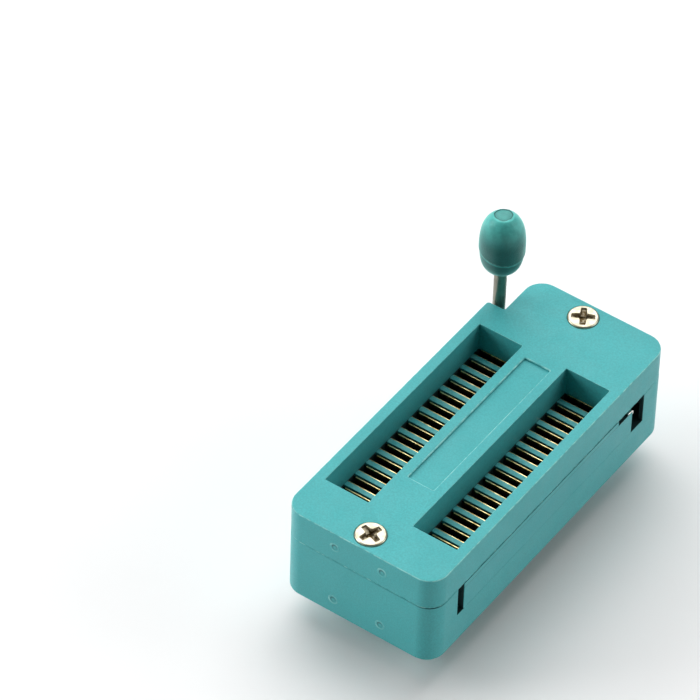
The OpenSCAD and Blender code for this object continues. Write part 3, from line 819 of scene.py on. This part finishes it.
def lever_knob():
    """The knob: radius R (1 - |u|^p)^(1/p) along the lever, p smaller above, a tilted seam and a dished tip.

    Below the seam, whose height swings once round the knob, the radius is a step smaller, with a groove
    marked dark as painted shade and a pale lip there. The dish is set a little off the middle, its rim a sum
    of sines with one nick, marked pale as painted highlight, with a dark ring of painted shade inside it and
    a pale middle. The upper part is marked paler as painted light and the lower part darker as painted
    shade. Near the tip the height falls off towards one side.
    """
    p_low, p_high, tip_r, low_half, count, rows = 2.9, 2.5, 1.45, 4.6, 120, 150
    seam_drop, seam_swing, seam_high, step, step_h = 0.6, 0.5, np.radians(164), 0.14, 0.1
    groove_at, groove_w, groove_d, lip_at, lip_w, seam_mark = 0.05, 0.1, 0.05, 0.24, 0.12, 0.9
    slope, slope_h, slope_side = 0.1, 3.2, np.radians(124)
    big = (knob_high[0] - knob_low[0]) / 2
    high_half = knob_high[2] - knob_low[2] - low_half
    tip_u = (1 - (tip_r / big) ** p_high) ** (1 / p_high)
    middle_z = knob_low[2] + low_half
    angle = np.arange(count)[:, None] * 2 * np.pi / count
    u = -np.cos(np.linspace(0, np.arccos(-tip_u), rows))[None]
    height = middle_z + np.where(u > 0, high_half / tip_u, low_half) * u + 0 * angle
    depth = middle_z - seam_drop + seam_swing * np.cos(angle - seam_high) - height
    groove = bell(depth - groove_at, groove_w)
    lip = bell(depth - lip_at, lip_w)
    power = np.where(u > 0, p_high, p_low)
    radius = big * (1 - np.abs(u) ** power) ** (1 / power) + 0 * angle
    stepped = radius - step * smooth(depth / step_h) - groove_d * groove
    radius = np.where(radius > step + 0.1, stepped, radius)
    # Painted light and shade, carried by worn: the upper part is marked paler, the lower part darker.
    painted_top_light, painted_low_shade = smooth((height - middle_z - 1.2) / 4), smooth((middle_z - height) / 4)
    worn = 0.8 * painted_top_light - 0.25 * painted_low_shade
    ragged = 0.03 * np.sin(3 * angle + 1) + 0.02 * np.sin(7 * angle) + 0.1 * bell(angle - 5.9, 0.16)
    dish_r = tip_r * np.array([0.98, 0.93, 0.86, 0.80, 0.45, 0.0])
    dish_z = knob_high[2] + np.array([0.0, -0.03, -0.12, -0.10, -0.09, -0.09])
    dish_off = np.array([0.08, 0.12, 0.15, 0.15, 0.15, 0.15])
    # Painted highlight on the dish's rim and painted shade in a ring inside it.
    dish_rim_light_and_shade = np.array([0.3, 0.7, 0.9, 0.6, -0.2, 0.4, 0.5, 0.5])
    dish = dish_r[None] * (1 - ragged * (dish_r[None] > 0))
    # The groove is marked dark as painted shade; the lip is marked pale.
    mark = np.hstack([worn + seam_mark * lip - seam_mark * groove, 0 * dish])
    mark[:, -len(dish_rim_light_and_shade):] += dish_rim_light_and_shade
    off = np.concatenate([np.zeros(rows), dish_off])
    radius = np.hstack([radius, dish])
    height = np.hstack([height, np.broadcast_to(dish_z, dish.shape)])
    back = np.maximum(radius * np.cos(angle - slope_side) + tip_r, 0)
    height = height - slope * back * smooth((height - knob_high[2]) / slope_h + 1)
    points = np.dstack([ARM_X - off + radius * np.cos(angle), AXLE_Y + off + radius * np.sin(angle), height])
    patch = closed_grid(points, mark, start_pole=True, end_pole=True)
    return piece("knob_moulding", [patch], knob_plastic, "lever", "knob", ["lever_knob"])


def lever_rod():
    """The rod: a circle carried along the axle, a quarter bend and the arm, its two ends drawn in."""
    bend_room, soft, count = 0.05, 0.12, 32
    bend_r = NOTCH_X - ARM_X - bend_room
    turn = np.linspace(0, np.pi / 2, 17)
    bend_x = ARM_X + bend_r - bend_r * np.sin(turn)
    bend_z = AXLE_Z + bend_r - bend_r * np.cos(turn)
    x = np.concatenate([[rod_high[0], rod_high[0] - soft], bend_x, [ARM_X, ARM_X]])
    z = np.concatenate([[AXLE_Z, AXLE_Z], bend_z, [rod_high[2] - soft, rod_high[2]]])
    heading = np.concatenate([[0, 0], turn, [np.pi / 2, np.pi / 2]])
    size = np.ones(len(x))
    size[[0, -1]] = 1 - soft / ROD_R
    around = np.arange(count) * 2 * np.pi / count
    section = ROD_R * np.stack([np.cos(around), np.sin(around)], 1)[:, None] * size[None, :, None]
    along = np.stack([-np.cos(heading), 0 * heading, np.sin(heading)], 1)
    across = np.stack([along[:, 2], 0 * heading, -along[:, 0]], 1)
    centre = np.stack([x, np.full(len(x), AXLE_Y), z], 1)
    patch = carried(section, centre[None], across[None], np.array([0.0, 1.0, 0.0]))
    return piece("bent_rod", [patch], rod_steel, "lever", "rod_steel", ["lever_rod"])


def cross_recess(x, y):
    """Depth of a cross recess: two crossed troughs with steep sides, shallower outwards, and a pit."""
    half_w, taper, fall, reach, steep = 0.54, 0.06, 0.4, 1.72, 0.16
    pit_r, pit_slope = 0.85, 0.4

    def trough(along, over):
        along, over = np.abs(along), np.abs(over)
        sides = smooth((half_w - taper * along - over) / steep)
        return (RECESS_D - fall * along) * sides * smooth((reach - along) / steep)

    pit = RECESS_D * smooth((pit_r - np.hypot(x, y)) / pit_slope)
    return np.maximum(np.maximum(trough(x, y), trough(y, x)), pit)


def cover_screw(node, turn):
    """A screw: a head that falls with the square of the radius, a rounded rim, the recess and a shank."""
    rim, crown, count = 0.2, 0.16, 240
    shank_r, point_r, point_h = 1.25, 0.95, 0.5
    fine_r, coarse_r = 1.8, 1.87
    low, high = screw_boxes[node]
    y, top = screw_y[node], high[2]
    angle = np.arange(count)[:, None] * 2 * np.pi / count
    a = np.linspace(0, np.pi / 2, 6)
    face_r = np.concatenate([np.linspace(0, fine_r, 72), np.linspace(coarse_r, HEAD_R - rim, 4)])[::-1]
    face_z = top - crown * (face_r / HEAD_R) ** 2
    side_r = HEAD_R - rim + rim * np.cos(a)
    side_z = top - crown - rim + rim * np.sin(a)
    under_r = np.array([0.0, point_r, shank_r, shank_r, HEAD_R])
    under_z = np.array([low[2], low[2], low[2] + point_h, SEAT_Z, SEAT_Z])
    radius = np.concatenate([under_r, side_r[:-1], face_r]) + 0 * angle
    height = np.concatenate([under_z, side_z[:-1], face_z]) + 0 * angle
    recess = cross_recess(radius * np.cos(angle - turn), radius * np.sin(angle - turn))
    recess[:, :-len(face_r)] = 0
    points = np.dstack([radius * np.cos(angle), y + radius * np.sin(angle), height - recess])
    patch = closed_grid(points, recess / RECESS_D, start_pole=True, end_pole=True)
    return piece(node.replace("cover_", "") + "_turned", [patch], nickel, "housing", "screw_nickel", [node])


# Contacts


def contact_strip(side, y, tail_y, leaf_y, width, top, bow):
    """One layer of a folded contact: a strip carried up a path from the tail's tip to the leaf's top.

    Above the board it swings from the tail's line to the leaf's and then widens, both as a smooth step of
    the height, and the leaf bows by a sine of its height. Its upper edge thins over a quarter turn and is
    gilded; below it the mark leaves the strip in painted shade.
    """
    tip_z, tip_h, tip_cut, tail_z = -4.5, 0.25, 0.14, -1.5
    swing, spread, edge, thinning, gilt_h = 0.9, 0.5, 0.09, 0.04, 0.1
    turn = np.linspace(0, np.pi / 2, 6)
    swing_z = np.linspace(ROOT_Z, ROOT_Z + swing, 10)
    leaf_z = np.linspace(ROOT_Z + swing + 0.1, top - edge, 14)[:-1]
    edge_z = top - edge + edge * np.sin(turn)
    z = np.concatenate([[tip_z, tip_z + tip_h, tail_z, UNDER_Z], swing_z, leaf_z, edge_z])
    rise = smooth((z - ROOT_Z) / swing)
    leaf = np.clip((z - ROOT_Z) / (top - ROOT_Z), 0, 1)
    path_y = y + tail_y + (leaf_y - tail_y) * rise + bow * np.sin(np.pi * leaf) * rise
    path_x = SIDES[side] * (TAIL_X + (CHANNEL_X - TAIL_X) * rise)
    half_w = TAIL_W / 2 + (width - TAIL_W) / 2 * smooth((z - ROOT_Z - swing) / spread)
    half_w = half_w - tip_cut * np.clip((tip_z + tip_h - z) / tip_h, 0, 1)
    half_t = np.full(len(z), STRIP_T / 2)
    half_t[-len(turn):] -= thinning * (1 - np.cos(turn))
    along = unit(np.stack([0 * z, np.gradient(path_y, z), np.ones(len(z))], 1))
    outward = np.stack([0 * z, along[:, 2], -along[:, 1]], 1)
    centre = np.stack([path_x, path_y, z], 1)
    section = strip_section(half_w, half_t)
    # 1 on the gold upper edge, 0 below, where the material paints shade.
    gilded = smooth((z - top) / gilt_h + 1.2)
    return carried(section, centre[None], np.array([1.0, 0.0, 0.0]), outward[None], gilded)


def contact(side, i):
    """A contact of two layers: the fixed one rides on the housing; the spring one, bent by the slide in use,
    rides on none.
    """
    y, node, layer = row_y[i - 1], contact_name(side, i), (TAIL_T - STRIP_T) / 2
    look = gilt, "housing", "contact_metal", [node]
    fixed = contact_strip(side, y, -layer, FIXED_Y, FIXED_W, FIXED_TOP, 0.0)
    piece(f"fixed_leaf_{side}_{i:02d}", [fixed], *look)
    spring = contact_strip(side, y, layer, SPRING_Y, SPRING_W, SPRING_TOP, SPRING_BOW)
    leaf = piece(f"spring_leaf_{side}_{i:02d}", [spring], *look, ride=False)
    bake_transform(leaf)


top_cover()
base()
slide_plate()
wear_strip()
lever_knob()
lever_rod()
cover_screw("cover_screw_front", np.radians(71))
cover_screw("cover_screw_rear", np.radians(29.5))
for side in SIDES:
    for i in range(1, CONTACTS + 1):
        contact(side, i)
cam_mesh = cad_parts["lever_cam"].data
cam_mesh.materials.clear()
cam_mesh.materials.append(rod_steel)

# Camera, floor and light, in metres
VIEW_FROM, VIEW_TO, VIEW_ROLL = (0.28944, -0.45963, 0.58042), (-0.02704, 0.00777, 0.008), np.radians(1.849)
LIGHT_AIM = (0, 0, 0.008)
FLOOR_HALF = 3.0


def looking(place, aim, roll=0.0):
    """A matrix at a place, looking at a point, turned about the line of sight."""
    line = Vector(aim) - Vector(place)
    turn = line.to_track_quat("-Z", "Y").to_matrix().to_4x4() @ Matrix.Rotation(roll, 4, "Z")
    return Matrix.Translation(place) @ turn


def add(name, data, matrix):
    """A new object in the scene."""
    obj = bpy.data.objects.new(name, data)
    obj.matrix_world = matrix
    bpy.context.scene.collection.objects.link(obj)
    return obj


def softbox(name, energy, size, place):
    """A square area light that faces the part."""
    light = bpy.data.lights.new(name, "AREA")
    light.energy = energy
    light.size = size
    add(name, light, looking(place, LIGHT_AIM))


camera = bpy.data.cameras.new("camera")
camera.lens = 293.18
camera.sensor_width = 36
camera.clip_end = 10
bpy.context.scene.camera = add("camera", camera, looking(VIEW_FROM, VIEW_TO, VIEW_ROLL))

floor_mesh = bpy.data.meshes.new("floor")
corners = [(x * FLOOR_HALF, y * FLOOR_HALF, cad_box[0].z) for x, y in ((-1, -1), (1, -1), (1, 1), (-1, 1))]
floor_mesh.from_pydata(corners, [], [(0, 1, 2, 3)])
floor_mesh.materials.append(white_paper())
add("floor", floor_mesh, Matrix())

softbox("top softbox", 22.0, 1.6, (-0.45, 0.55, 1.00))
softbox("left softbox", 6.8, 0.6, (-0.84, -0.46, 0.40))
softbox("right softbox", 3.7, 0.6, (0.80, 0.55, 0.40))
world = bpy.data.worlds.new("studio")
bpy.context.scene.world = world
world.use_nodes = True
sky = world.node_tree.nodes["Background"]
sky.inputs["Color"].default_value = (1, 1, 1, 1)
sky.inputs["Strength"].default_value = 0.03
bpy.context.scene.view_settings.view_transform = "Standard"
